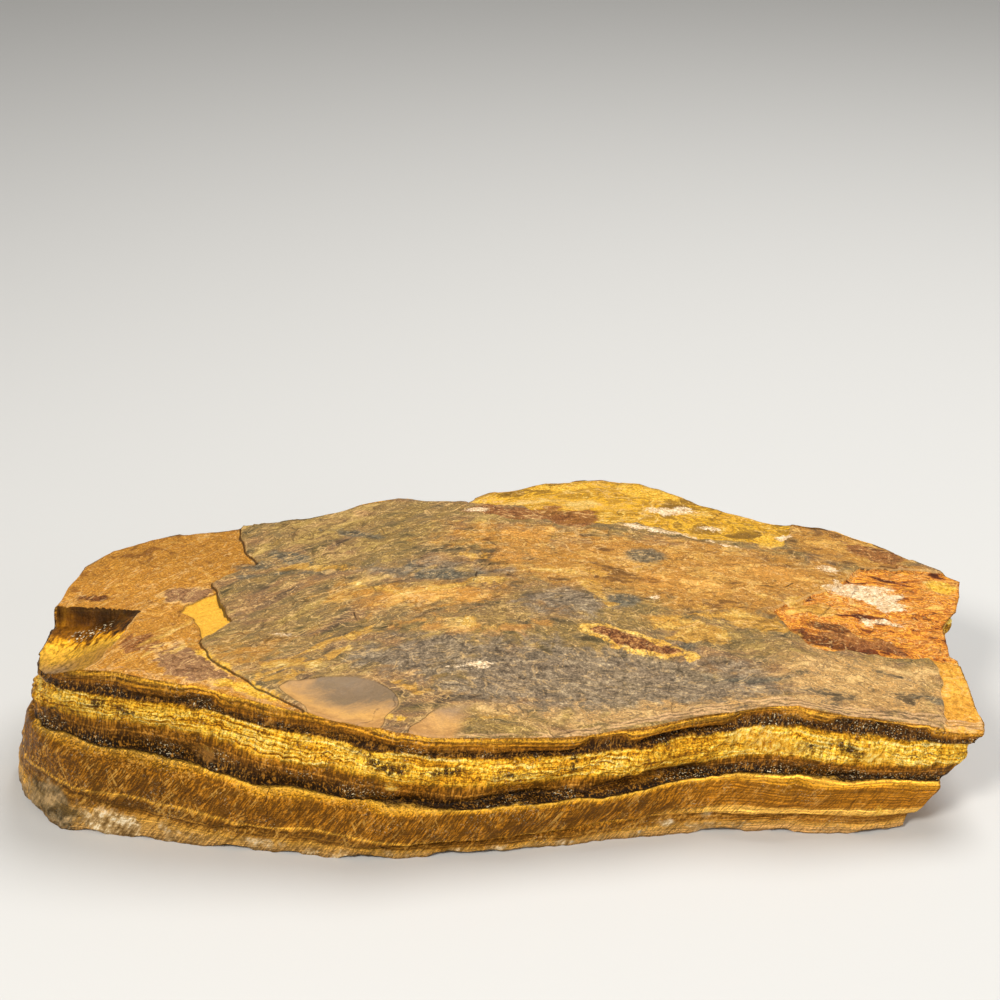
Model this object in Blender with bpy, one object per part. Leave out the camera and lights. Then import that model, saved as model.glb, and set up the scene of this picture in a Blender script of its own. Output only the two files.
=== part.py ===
"""A rough slab of tiger's eye, broken out of its seam: one solid.

Lengths are millimetres, +X runs along the slab, +Z is up, and the slab rests on z = 0 below its middle.
Every bed runs right through the stone, so heights on its sides are given in bed numbers:
0 is the roof, 1 the ledge, 2 the groove near the foot and 3 the foot itself.
"""
import bmesh
import bpy
import numpy as np
from mathutils import Vector, noise

MM = 0.001
NAME = "tigers_eye_slab"

# How finely the solid is cut: along the front, from front to back, and in from the foot.
COLUMNS = 70
ROWS = 24
ROW_GATHER = 1.3           # above 1, rows lie closer together towards the front
SOLE_INSET = 4.5
SOLE_EASING = 12           # passes that round the sole's corners

# Bed heights at stations along the slab. The roof's height differs between its front and back edges.
STATIONS = (-146, -123, -106, -83, -55, -28, 0, 28, 56, 85, 113, 131, 146)
ROOF_FRONT = (50.5, 51.5, 53.5, 52.0, 46.5, 41.5, 37.5, 35.8, 38.2, 40.8, 34.5, 32.8, 32.0)
ROOF_BACK = (49.5, 50.0, 50.0, 49.0, 47.0, 45.5, 46.0, 46.5, 46.0, 44.0, 41.8, 40.4, 39.2)
ROOF_TO_LEDGE = (21.1, 22.3, 26.3, 28.4, 27.3, 25.4, 22.1, 19.7, 19.6, 22.8, 18.6, 18.1, 17.2)
LEDGE_TO_GROOVE = (14.4, 15.0, 13.2, 13.8, 11.7, 12.0, 11.2, 11.1, 11.9, 11.6, 10.5, 9.9, 9.8)
FRONT_ROLL = 60.0          # how far in the roof takes to lose the wave of its front edge
SWELL = 0.6                # soft unevenness of the roof
SWELL_SPAN = 38.0

# The roof's outline, seen from above, as four edges. Front and back run left to right, the ends run inward.
ROOF_EDGES = {
    "front": ((-119, -60.8), (-105.7, -63.9), (-83, -68.5), (-55.2, -72.8), (-27.5, -76), (0, -73.5),
              (28, -68.2), (56.4, -62.8), (76.4, -60.5), (98.6, -62.5), (113.6, -60), (137.5, -60)),
    "right": ((137.5, -60), (138, -54), (137.6, -45), (137, -33), (136.6, -27), (134.3, -25),
              (134.9, -10.4), (140.5, -2), (142, 3.9), (145.5, 17.4)),
    "back": ((-131.5, -16.5), (-131, -7), (-127.5, 6), (-121, 17), (-110.7, 23.6), (-84, 35.5),
             (-65, 45.1), (-43, 58.4), (-33.5, 63.8), (-10, 62), (-6.7, 66.2), (3.4, 70.1), (15.4, 77.4),
             (34, 78.2), (47.7, 75.7), (66.8, 60.5), (86, 52.6), (105.5, 49.4), (123.3, 36.5),
             (134.5, 26.5), (145.5, 17.4)),
    "left": ((-119, -60.8), (-126.5, -56), (-132, -48), (-133.5, -40), (-132.5, -30), (-131.5, -16.5)),
}
# The outline where the sides meet the ground. The right end is undercut and the left end spreads out.
FOOT_EDGES = {
    "front": ((-138, -51), (-127.3, -63.6), (-115.2, -66.6), (-100.6, -68.1), (-85.8, -71.6),
              (-56.8, -75.5), (-43.9, -78.4), (-28.3, -78), (0, -75.1), (28.7, -70.1), (57.7, -65.1),
              (103.9, -65.1), (115.8, -62.6)),
    "right": ((115.8, -62.6), (116, -45), (114, -28), (117, -10), (122, 3), (126, 15)),
    "back": ((-136, -13), (-125, 3), (-115, 11), (-95, 24), (-64, 40), (-43, 53), (-24, 59), (-8, 60),
             (14, 72), (34, 73), (47, 71), (58, 63), (86, 48), (105, 44), (113, 38), (126, 15)),
    "left": ((-138, -51), (-144, -38), (-145.7, -30), (-143, -20), (-136, -13)),
}
SPREAD_FROM = -95.0        # left of this the front face bellies out below the roof
SPREAD_FULL = -125.0
END_FROM = -60.0           # and behind this the left end drops straight before it spreads
END_FULL = -46.0

# Courses cut down the sides: bed number, and how far the stone stands out there.
COURSES = (
    (0.06, 0.5),           # lip of the thin cap
    (0.14, -0.4),          # under the cap
    (0.24, -1.8),          # dark bed, worn back
    (0.33, -0.3),          # top of the gold bed
    (0.46, 1.2),           # the gold bed's swelling
    (0.62, 0.2),
    (0.82, -1.3),
    (0.95, -2.6),          # cut back above the ledge
    (1.00, 0.9),           # the ledge
    (1.12, 1.6),
    (1.55, 1.3),
    (1.93, 0.6),
    (2.06, -0.9),          # groove
    (2.35, -0.2),
    (3.00, -0.3),
)
FOOT_RAG = 2.4             # the lower edge is chipped up to this height
WANE = 0.55                # share of a course's standing out that comes and goes round the slab
WANE_SPAN = 26.0
BREAK = 1.5                # blocky unevenness of the sides, different above and below the ledge
BREAK_SPAN = 24.0
SCALLOP = 4.5              # shell-shaped hollows of the break, with sharp ridges between them
SCALLOP_SPAN = 19.0
HACKLE = 0.9               # splintered unevenness, strongest in the gold bed
HACKLE_SPAN = 5.0
CALM = 0.4                 # the front and the left end broke flatter than the back
CALM_FRONT = -45.0
CALM_LEFT = -112.0

# Sheets of the roof that have flaked away or stand up: outline, drop, and how far in the drop is lost again.
LEFT_BED = ((-83.1, 40), (-83.1, 34.6), (-80.1, 19.3), (-74.7, 12.4), (-87.6, -1.7), (-83.9, -14.8),
            (-78.8, -27), (-85.6, -39.8), (-86.4, -42.7), (-79.3, -56.1), (-63.9, -67.6), (-51, -74.2),
            (-51, -95), (-170, -95), (-170, 60), (-83.1, 60))
OCHRE_PANE = ((-95.1, -21.9), (-91.8, -13.9), (-86.2, -8.2), (-79.1, -27.1), (-85.6, -39.8), (-90.5, -25.1))
RIGHT_BED = ((113.6, 20.4), (107.3, 10), (100, 3), (82.9, -10.6), (87, -21.2), (93.8, -29.5),
             (105.6, -28.4), (160, -28), (160, 22))
OCHRE_END = ((128.4, -27.7), (160, -24), (160, -75), (126, -75), (126.8, -58.4), (129.9, -37.9))
BACK_BED = ((-10, 80), (-10, 61.1), (6.7, 59.9), (22.5, 43.2), (44.6, 46.1), (63.6, 34.8), (92.2, 35.1),
            (95.7, 50.4), (100, 80))
RED_LENS = ((20.3, -23.4), (34, -22.7), (49.1, -28.8), (62.3, -36.9), (43.7, -36), (27.2, -28.9))
FLAKES = ((LEFT_BED, 1.1, 30.0), (OCHRE_PANE, 1.0, 90.0), (RIGHT_BED, 1.3, 60.0), (OCHRE_END, 1.2, 60.0),
          (BACK_BED, 0.9, 25.0), (RED_LENS, -0.7, 90.0))
FLAKE_RIM = 1.6            # width of the slope at a sheet's broken edge

# Shell-shaped chips out of the front edge: outline and depth.
CHIPS = (
    (((-62.5, -64.9), (-60.7, -60.4), (-45.7, -51.3), (-37.7, -50.7), (-30.1, -56.1), (-27.6, -61.5),
      (-32.8, -72), (-34, -95), (-51, -95), (-51, -73.1)), 1.2),
    (((-27, -77), (-17.2, -60.9), (-10, -55.3), (-5.7, -57.7), (-7, -63.5), (-14.1, -95), (-27, -95)), 0.8),
)
CHIP_BOWL = 9.0

# The corner broken off at the left front: a facet that falls away from its hinge to the step behind it.
CORNER_HINGE = ((-107.2, -24.5), (-109.9, -42.9), (-113.8, -58.4), (-119, -62))
CORNER_BREAK = CORNER_HINGE + ((-119, -95), (-170, -95), (-170, -17), (-130.5, -20.4))
CORNER_FALL = 0.40
CORNER_DEEPEST = 6.0

STONE_COLOUR = (0.42, 0.25, 0.07, 1.0)
STONE_ROUGHNESS = 0.45


def clear_scene():
    for thing in list(bpy.data.objects):
        bpy.data.objects.remove(thing, do_unlink=True)


def smooth(share):
    share = np.clip(share, 0.0, 1.0)
    return share * share * (3.0 - 2.0 * share)


def places(plan, level, span, seed):
    stacked = np.column_stack([plan / span, np.broadcast_to(level, len(plan)) / span])
    return [Vector(place) + Vector((seed, 0.0, 0.0)) for place in stacked]


def ripple(plan, level, span, seed):
    """Smooth unevenness between -1 and 1, the same wherever the same place is asked for."""
    return np.array([noise.noise(place) for place in places(plan, level, span, seed)]) * 1.6


def scallop(plan, level, span, seed):
    """Hollows with sharp ridges between them: 0 deep inside a hollow, up to about 1 on a ridge."""
    return np.array([noise.voronoi(place)[0][0] for place in places(plan, level, span, seed)]) ** 2


def along(line, share):
    """Plan points at shares of a broken line's length."""
    corners = np.array(line, float)
    run = np.concatenate(([0.0], np.cumsum(np.hypot(*np.diff(corners, axis=0).T))))
    return np.column_stack([np.interp(share * run[-1], run, corners[:, axis]) for axis in (0, 1)])


def sheet(edges, across, inward):
    """The plan place of a point inside four edges: a patch blended from all four."""
    front, back = along(edges["front"], across), along(edges["back"], across)
    left, right = along(edges["left"], inward), along(edges["right"], inward)
    u, v = across[:, None], inward[:, None]
    near = (1 - u) * np.array(edges["front"][0]) + u * np.array(edges["front"][-1])
    far = (1 - u) * np.array(edges["back"][0]) + u * np.array(edges["back"][-1])
    return (1 - v) * front + v * back + (1 - u) * left + u * right - (1 - v) * near - v * far


def distance_to(plan, line):
    corners = np.array(line, float)
    nearest = np.full(len(plan), np.inf)
    for start, end in zip(corners[:-1], corners[1:]):
        run = end - start
        share = np.clip((plan - start) @ run / (run @ run), 0.0, 1.0)
        nearest = np.minimum(nearest, np.hypot(*(plan - start - share[:, None] * run).T))
    return nearest


def depth_inside(plan, outline):
    """Distance in from a closed outline, negative outside it."""
    corners = np.array(outline, float)
    inside = np.zeros(len(plan), bool)
    x, y = plan.T
    for (ax, ay), (bx, by) in zip(corners, np.roll(corners, -1, axis=0)):
        if ay != by:
            inside ^= ((ay > y) != (by > y)) & (x < ax + (bx - ax) * (y - ay) / (by - ay))
    reach = distance_to(plan, np.vstack([corners, corners[:1]]))
    return np.where(inside, reach, -reach)


def whole_roof(plan):
    """Height of the roof before anything flaked off it."""
    x, y = plan.T
    front_line = np.interp(x, *np.array(ROOF_EDGES["front"]).T)
    share = smooth((y - front_line) / FRONT_ROLL)
    front, back = np.interp(x, STATIONS, ROOF_FRONT), np.interp(x, STATIONS, ROOF_BACK)
    return front + (back - front) * share


def roof_loss(plan):
    """How far flaked sheets, chips and the broken corner lower the roof."""
    loss = -SWELL * ripple(plan, 0.0, SWELL_SPAN, 3.0)
    for outline, drop, lost_over in FLAKES:
        inside = depth_inside(plan, outline)
        loss += drop * smooth(0.5 + inside / FLAKE_RIM) * smooth(1.0 - inside / lost_over)
    for outline, depth in CHIPS:
        bowl = np.clip(depth_inside(plan, outline) / CHIP_BOWL, 0.0, 1.0)
        loss += depth * (1.0 - (1.0 - bowl) ** 2)
    fall = np.minimum(CORNER_FALL * distance_to(plan, CORNER_HINGE), CORNER_DEEPEST)
    loss += fall * smooth(0.5 + depth_inside(plan, CORNER_BREAK) / FLAKE_RIM)
    return loss


def bed_height(plan, bed):
    """Height of a bed, given by its number, before any loss."""
    x = plan[:, 0]
    roof = whole_roof(plan)
    ledge = roof - np.interp(x, STATIONS, ROOF_TO_LEDGE)
    groove = ledge - np.interp(x, STATIONS, LEDGE_TO_GROOVE)
    floor = np.zeros(len(x))
    levels = np.column_stack([roof, ledge, groove, floor])
    lower = np.minimum(np.floor(bed).astype(int), 2)
    rows = np.arange(len(x))
    return levels[rows, lower] + (levels[rows, lower + 1] - levels[rows, lower]) * (bed - lower)


def outward(plan_ring):
    """Outward unit direction at each point of a ring that runs anticlockwise."""
    run = np.roll(plan_ring, -2, axis=0) - np.roll(plan_ring, 2, axis=0)
    run /= np.maximum(np.hypot(*run.T), 1e-9)[:, None]
    return np.column_stack([run[:, 1], -run[:, 0]])


def eased(ring, passes):
    for _ in range(passes):
        ring = 0.5 * ring + 0.25 * (np.roll(ring, 1, axis=0) + np.roll(ring, -1, axis=0))
    return ring


def stand_out(plan, bed, course_out):
    """How far the stone stands out of the plain side at a place on a course."""
    pack = np.clip(np.floor(bed), 0, 2)
    calm = np.where((plan[:, 1] < CALM_FRONT) | (plan[:, 0] < CALM_LEFT), CALM, 1.0)
    course = course_out * (1.0 - WANE + 2.0 * WANE * smooth(0.5 + ripple(plan, 9.0 * pack, WANE_SPAN, 5.0)))
    blocks = BREAK * ripple(plan, 37.0 * pack, BREAK_SPAN, 11.0)
    hollows = SCALLOP * (scallop(plan, 25.0 * bed, SCALLOP_SPAN, 17.0) - 0.25)
    in_gold = smooth(1.0 - np.abs(bed - 0.46) / 0.2)
    splinters = HACKLE * (0.5 + in_gold) * ripple(plan, 60.0 * bed, HACKLE_SPAN, 23.0)
    return course + calm * (blocks + hollows) + splinters


def border_steps():
    """The grid's border, anticlockwise from the left front corner, as whole steps across and inward."""
    across, inward = np.arange(COLUMNS), np.arange(ROWS)
    return np.column_stack([
        np.concatenate([across, np.full(ROWS, COLUMNS), COLUMNS - across, np.zeros(ROWS, int)]),
        np.concatenate([np.zeros(COLUMNS, int), inward, np.full(COLUMNS, ROWS), ROWS - inward])])


def shares(steps):
    """Whole steps of the grid as shares across and inward."""
    return steps[:, 0] / COLUMNS, (steps[:, 1] / ROWS) ** ROW_GATHER


def side_ring(across, inward, bed, course_out):
    """One course round the slab."""
    top = sheet(ROOF_EDGES, across, inward)
    foot = sheet(FOOT_EDGES, across, inward)
    bed = np.full(len(top), bed)
    whole = whole_roof(top)
    left = (whole - roof_loss(top)) / whole
    height = bed_height(top, bed) * left
    share = 1.0 - height / (whole * left)
    spread = smooth((SPREAD_FROM - top[:, 0]) / (SPREAD_FROM - SPREAD_FULL))
    end = smooth((top[:, 1] - END_FROM) / (END_FULL - END_FROM))
    bellied = share * (2.0 - share) * (1.0 - end) + smooth(share) * end
    share = share + (bellied - share) * spread
    plan = top + (foot - top) * share[:, None]
    plan = plan + outward(plan) * stand_out(top, bed, course_out)[:, None]
    rag = FOOT_RAG * np.clip(ripple(top, 0.0, 11.0, 41.0), 0.0, 1.0)
    height = height + np.where(bed >= 3.0, rag, 0.0)
    return np.column_stack([plan, height])


def grid_block():
    """A flat grid with its border drawn down one step per course, and a sole inset at the foot."""
    stone = bmesh.new()
    bmesh.ops.create_grid(stone, x_segments=COLUMNS, y_segments=ROWS, size=0.5)
    bmesh.ops.translate(stone, verts=stone.verts, vec=(0.5, 0.5, 0.0))
    border = [edge for edge in stone.edges if edge.is_boundary]
    for _ in COURSES:
        border = draw_down(stone, border)
    border = draw_down(stone, border)
    bmesh.ops.edgeloop_fill(stone, edges=border)
    return stone


def draw_down(stone, border):
    grown = bmesh.ops.extrude_edge_only(stone, edges=border)["geom"]
    points = [item for item in grown if isinstance(item, bmesh.types.BMVert)]
    bmesh.ops.translate(stone, verts=points, vec=(0.0, 0.0, -1.0))
    return [item for item in grown if isinstance(item, bmesh.types.BMEdge)]


def grid_steps(points):
    """The whole steps across and inward at which points of the flat grid stand."""
    return np.array([(round(point.co.x * COLUMNS), round(point.co.y * ROWS)) for point in points])


def shape_roof(stone):
    points = [point for point in stone.verts if point.co.z > -0.5]
    plan = sheet(ROOF_EDGES, *shares(grid_steps(points)))
    height = whole_roof(plan) - roof_loss(plan)
    for point, (x, y), z in zip(points, plan, height):
        point.co = (x, y, z)


def shape_sides(stone):
    steps = border_steps()
    order = {tuple(step): place for place, step in enumerate(steps)}
    across, inward = shares(steps)
    rings = [side_ring(across, inward, bed, out) for bed, out in COURSES]
    foot = rings[-1][:, :2]
    sole = eased(foot - SOLE_INSET * outward(foot), SOLE_EASING)
    rings.append(np.column_stack([sole, np.zeros(len(sole))]))
    points = [point for point in stone.verts if point.co.z < -0.5]
    for point, step in zip(points, grid_steps(points)):
        point.co = rings[round(-point.co.z) - 1][order[tuple(step)]]


def settle(stone):
    """Puts the middle of the slab's box over the origin."""
    plan = np.array([point.co[:2] for point in stone.verts])
    middle = (plan.min(axis=0) + plan.max(axis=0)) / 2.0
    bmesh.ops.translate(stone, verts=stone.verts, vec=(-middle[0], -middle[1], 0.0))


def stone_material():
    material = bpy.data.materials.new("banded_stone")
    material.use_nodes = True
    surface = material.node_tree.nodes["Principled BSDF"]
    surface.inputs["Base Color"].default_value = STONE_COLOUR
    surface.inputs["Roughness"].default_value = STONE_ROUGHNESS
    surface.inputs["Metallic"].default_value = 0.0
    return material


def build_slab():
    stone = grid_block()
    shape_roof(stone)
    shape_sides(stone)
    settle(stone)
    bmesh.ops.scale(stone, verts=stone.verts, vec=(MM, MM, MM))
    bmesh.ops.recalc_face_normals(stone, faces=stone.faces)
    mesh = bpy.data.meshes.new(NAME)
    stone.to_mesh(mesh)
    stone.free()
    mesh.materials.append(stone_material())
    slab = bpy.data.objects.new(NAME, mesh)
    bpy.context.scene.collection.objects.link(slab)


clear_scene()
build_slab()
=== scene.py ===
"""The finished look of a rough slab of tiger's eye.

The slab is one stone. Its shape follows the same beds, edges and flakes as the frame's solid, cut much
finer, and its finish is one procedural stone: silky fibre beds on the broken sides, a weathered parting
face on top. Lengths are millimetres until the mesh is scaled. Bed numbers run down through the stone:
0 roof, 1 ledge, 2 groove, 3 foot.
"""
import math

import bmesh
import bpy
import numpy as np
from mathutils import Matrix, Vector, noise


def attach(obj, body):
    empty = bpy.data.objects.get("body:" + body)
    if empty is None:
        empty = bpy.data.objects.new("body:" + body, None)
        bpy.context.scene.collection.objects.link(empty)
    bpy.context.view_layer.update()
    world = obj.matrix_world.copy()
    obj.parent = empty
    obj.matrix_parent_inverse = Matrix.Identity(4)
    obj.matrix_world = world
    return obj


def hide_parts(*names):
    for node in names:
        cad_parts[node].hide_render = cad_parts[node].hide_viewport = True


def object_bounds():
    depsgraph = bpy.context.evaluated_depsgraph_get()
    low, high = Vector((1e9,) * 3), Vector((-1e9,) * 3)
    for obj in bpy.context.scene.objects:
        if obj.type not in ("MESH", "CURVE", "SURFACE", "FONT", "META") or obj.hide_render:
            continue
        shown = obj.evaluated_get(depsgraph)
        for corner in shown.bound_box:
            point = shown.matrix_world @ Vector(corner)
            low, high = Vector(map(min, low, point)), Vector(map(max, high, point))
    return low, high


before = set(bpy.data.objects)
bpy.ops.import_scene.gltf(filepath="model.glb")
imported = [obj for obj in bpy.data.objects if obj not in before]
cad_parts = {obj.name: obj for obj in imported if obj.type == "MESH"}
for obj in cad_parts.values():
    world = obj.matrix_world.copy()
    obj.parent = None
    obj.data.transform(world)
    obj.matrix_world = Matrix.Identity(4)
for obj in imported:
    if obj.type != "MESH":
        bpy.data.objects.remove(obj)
CAD_BOX = [list(corner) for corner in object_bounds()]

MM = 0.001
NODE = "tigers_eye_slab"

# ---------------------------------------------------------------- driving sizes of the slab
COLUMNS = 330
ROWS = 112
ROW_GATHER = 1.15
SOLE_INSET = 4.5
SOLE_EASING = 60

# How high the roof stands, then how far below it each bed ends, at places along the slab.
STATIONS = (-146, -123, -106, -83, -55, -28, 0, 28, 56, 85, 113, 131, 146)
ROOF_FRONT = (50.5, 51.5, 53.5, 52.0, 46.5, 41.5, 37.5, 35.8, 38.2, 40.8, 34.5, 32.8, 32.0)
ROOF_BACK = (49.5, 50.0, 50.0, 49.0, 47.0, 45.5, 46.0, 46.5, 46.0, 44.0, 41.8, 40.4, 39.2)
CAP_BASE = (
    (-146, 4.0), (-120, 4.2), (-88, 4.9), (-86, 3.5), (-79, 3.4), (-77, 6.2), (-60, 6.0), (-45, 4.2),
    (-25, 4.0), (-20, 5.2), (0, 5.0), (24, 4.5), (25.5, 1.2), (35, 1.4), (37, 4.0), (66, 4.5), (69, 2.4),
    (84, 2.2), (86, 4.3), (94, 4.2), (96, 1.2), (121, 1.0), (123, 3.6), (146, 3.4))
GOLD_TOP = (
    (-146, 7.4), (-120, 7.8), (-100, 9.1), (-90, 8.8), (-80, 9.3), (-60, 9.1), (-45, 8.8), (-40, 8.4),
    (-30, 7.2), (-25, 7.8), (-20, 8.4), (0, 7.3), (20, 6.8), (26, 6.1), (30, 5.7), (35, 6.0), (42, 7.0),
    (48, 6.0), (60, 6.5), (72, 5.9), (80, 6.0), (100, 6.5), (112, 5.5), (120, 5.2), (128, 5.9), (146, 5.5))
GOLD_BASE = (
    (-146, 13.6), (-120, 14.7), (-100, 14.3), (-90, 14.2), (-80, 15.2), (-70, 16.8), (-65, 17.6),
    (-55, 17.3), (-48, 15.0), (-40, 14.3), (-20, 15.4), (0, 14.9), (10, 14.0), (20, 13.3), (30, 12.5),
    (36, 13.9), (39, 16.0), (44, 16.3), (49, 16.2), (51, 14.9), (60, 15.2), (70, 14.6), (78, 14.4),
    (85, 15.0), (95, 15.8), (100, 15.2), (105, 14.4), (110, 12.2), (130, 11.2), (146, 10.9))
DARK_TOP = (
    (-146, 17.6), (-120, 18.9), (-100, 20.3), (-80, 21.3), (-55, 21.4), (-45, 20.6), (-35, 19.9),
    (-28, 21.3), (-10, 20.6), (0, 19.4), (15, 18.3), (20, 17.7), (38, 17.3), (62, 17.9), (72, 17.9),
    (80, 17.2), (96, 17.6), (105, 18.2), (112, 16.2), (125, 14.8), (146, 14.2))
LEDGE = (
    (-146, 21.1), (-123, 22.3), (-115, 23.9), (-108, 25.9), (-103, 27.0), (-95, 27.7), (-85, 28.4),
    (-75, 28.5), (-68, 29.1), (-66, 28.6), (-60, 27.8), (-50, 26.8), (-45, 26.2), (-40, 25.5), (-32, 26.0),
    (-24, 24.8), (-15, 24.0), (-8, 23.2), (5, 21.4), (18, 20.7), (22, 19.8), (50, 19.4), (60, 19.8),
    (72, 20.7), (78, 21.8), (82, 22.5), (86, 22.9), (90, 22.7), (100, 21.3), (104, 20.5), (113, 18.6),
    (118, 18.8), (125, 18.5), (146, 17.2))
GROOVE = (
    (-146, 35.5), (-130, 36.6), (-120, 37.6), (-110, 39.1), (-104, 39.8), (-95, 41.3), (-85, 42.2),
    (-75, 42.3), (-65, 41.4), (-58, 39.9), (-52, 38.1), (-45, 37.1), (-30, 37.6), (-20, 36.7), (-10, 35.0),
    (0, 33.3), (8, 32.6), (14, 31.9), (28, 30.8), (50, 31.0), (60, 31.9), (70, 32.4), (80, 33.6),
    (85, 34.4), (90, 33.8), (100, 31.4), (112, 29.2), (118, 28.9), (131, 28.0), (146, 27.0))
# Bed numbers at the roof, at those six lines and at the foot, and the courses between them.
BED_NUMBERS = (0.0, 0.13, 0.32, 0.62, 0.85, 1.0, 2.0, 3.0)
BED_LINES = (CAP_BASE, GOLD_TOP, GOLD_BASE, DARK_TOP, LEDGE, GROOVE)
BED_COURSES = (6, 6, 10, 8, 6, 15, 9)
FRONT_ROLL = 60.0
SWELL = 0.6
SWELL_SPAN = 38.0

ROOF_EDGES = {
    "front": ((-119, -60.8), (-105.7, -63.9), (-83, -68.5), (-55.2, -72.8), (-27.5, -76), (0, -73.5),
        (28, -68.2), (56.4, -62.8), (76.4, -60.5), (98.6, -62.5), (113.6, -60), (137.5, -60)),
    "right": ((137.5, -60), (138, -54), (137.6, -45), (137, -33), (136.6, -27), (134.3, -25),
        (134.9, -10.4), (140.5, -2), (142, 3.9), (145.5, 17.4)),
    "back": ((-131.5, -16.5), (-131, -7), (-127.5, 6), (-121, 17), (-110.7, 23.6), (-84, 35.5), (-65, 45.1),
        (-43, 58.4), (-33.5, 63.8), (-10, 62), (-6.7, 66.2), (3.4, 70.1), (15.4, 77.4), (34, 78.2),
        (47.7, 75.7), (66.8, 60.5), (86, 52.6), (105.5, 49.4), (123.3, 36.5), (134.5, 26.5), (145.5, 17.4)),
    "left": ((-119, -60.8), (-126.5, -56), (-132, -48), (-133.5, -40), (-132.5, -30), (-131.5, -16.5)),
}
FOOT_EDGES = {
    "front": ((-138, -51), (-127.3, -63.6), (-115.2, -66.6), (-100.6, -68.1), (-85.8, -71.6),
        (-56.8, -75.5), (-43.9, -78.4), (-28.3, -78), (0, -75.1), (28.7, -70.1), (57.7, -65.1),
        (103.9, -65.1), (115.8, -62.6)),
    "right": ((115.8, -62.6), (116, -45), (114, -28), (117, -10), (122, 3), (126, 15)),
    "back": ((-136, -13), (-125, 3), (-115, 11), (-95, 24), (-64, 40), (-43, 53), (-24, 59), (-8, 60),
        (14, 72), (34, 73), (47, 71), (58, 63), (86, 48), (105, 44), (113, 38), (126, 15)),
    "left": ((-138, -51), (-144, -38), (-145.7, -30), (-143, -20), (-136, -13)),
}
SPREAD_FROM = -95.0
SPREAD_FULL = -125.0
END_FROM = -60.0
END_FULL = -46.0

COURSES = (
    (0.0, 0.0), (0.06, 0.5), (0.14, -0.4), (0.24, -1.8), (0.33, -0.3), (0.46, 1.2), (0.62, 0.2),
    (0.82, -1.3), (0.95, -2.6), (1.00, 0.9), (1.12, 1.6), (1.55, 1.3), (1.93, 0.6), (2.06, -0.9),
    (2.35, -0.2), (3.00, -0.3))
FOOT_RAG = 2.4
WANE = 0.55
WANE_SPAN = 26.0
BREAK = 1.5
BREAK_SPAN = 24.0
SCALLOP = 4.5
SCALLOP_SPAN = 19.0
CALM = 0.4
CALM_FRONT = -45.0
CALM_LEFT = -112.0
END_CALM = 0.5
END_CALM_FROM = 104.0
GOLD_HACKLE = 0.8
GRAIN_RELIEF = 0.3
SPLINTER_RELIEF = 0.28
LAMINA_STEP = 0.3
TERRACE_FALL = 0.35
TERRACE_SPAN = 34.0
TERRACE_SLOPE = 0.05       # how fast the terrace ripple changes per millimetre

# Where the broken corner hinges, and the outlines of the lower beds, panes and breaks of the roof.
CORNER_HINGE = ((-107.2, -24.5), (-109.9, -42.9), (-113.8, -58.4), (-119, -62))
OUTLINES = {
    "left_bed": ((-83.1, 40), (-83.1, 34.6), (-80.1, 19.3), (-74.7, 12.4), (-87.6, -1.7), (-83.9, -14.8),
        (-78.8, -27), (-85.6, -39.8), (-86.4, -42.7), (-79.3, -56.1), (-63.9, -67.6), (-51, -74.2),
        (-51, -95), (-170, -95), (-170, 60), (-83.1, 60)),
    "ochre_pane": ((-95.1, -21.9), (-91.8, -13.9), (-86.2, -8.2), (-79.1, -27.1), (-85.6, -39.8),
        (-90.5, -25.1)),
    "right_bed": ((113.6, 20.4), (107.3, 10), (100, 3), (82.9, -10.6), (87, -21.2), (93.8, -29.5),
        (105.6, -28.4), (160, -28), (160, 22)),
    "ochre_end": ((128.4, -27.7), (160, -24), (160, -75), (126, -75), (126.8, -58.4), (129.9, -37.9)),
    "back_bed": ((-10, 80), (-10, 61.1), (6.7, 59.9), (22.5, 43.2), (44.6, 46.1), (63.6, 34.8),
        (92.2, 35.1), (95.7, 50.4), (100, 80)),
    "red_lens": ((20.3, -23.4), (34, -22.7), (49.1, -28.8), (62.3, -36.9), (43.7, -36), (27.2, -28.9)),
    "corner": CORNER_HINGE + ((-119, -95), (-170, -95), (-170, -17), (-130.5, -20.4)),
}
# How deep each flaked sheet lies, and how far in its floor has levelled out.
FLAKES = (("left_bed", 1.1, 30.0), ("ochre_pane", 1.0, 90.0), ("right_bed", 1.3, 60.0),
          ("ochre_end", 1.2, 60.0), ("back_bed", 0.9, 25.0), ("red_lens", -0.7, 90.0))
FLAKE_RIM = 1.3
# How far the outlines fray.
BED_FRAY = 0.7
CHIP_FRAY = 0.5
FRAY_SEED = 51.0

LEFT_CHIP = (
    (-62.5, -64.9), (-60.7, -60.4), (-45.7, -51.3), (-37.7, -50.7), (-30.1, -56.1), (-27.6, -61.5),
    (-32.8, -72), (-34, -95), (-51, -95), (-51, -73.1))
RIGHT_CHIP = (
    (-27, -77), (-17.2, -60.9), (-10, -55.3), (-5.7, -57.7), (-7, -63.5), (-14.1, -95), (-27, -95))
CHIPS = ((LEFT_CHIP, 1.2), (RIGHT_CHIP, 0.8))
CHIP_BOWL = 9.0

CORNER_FALL = 0.40
CORNER_DEEPEST = 6.0

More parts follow.
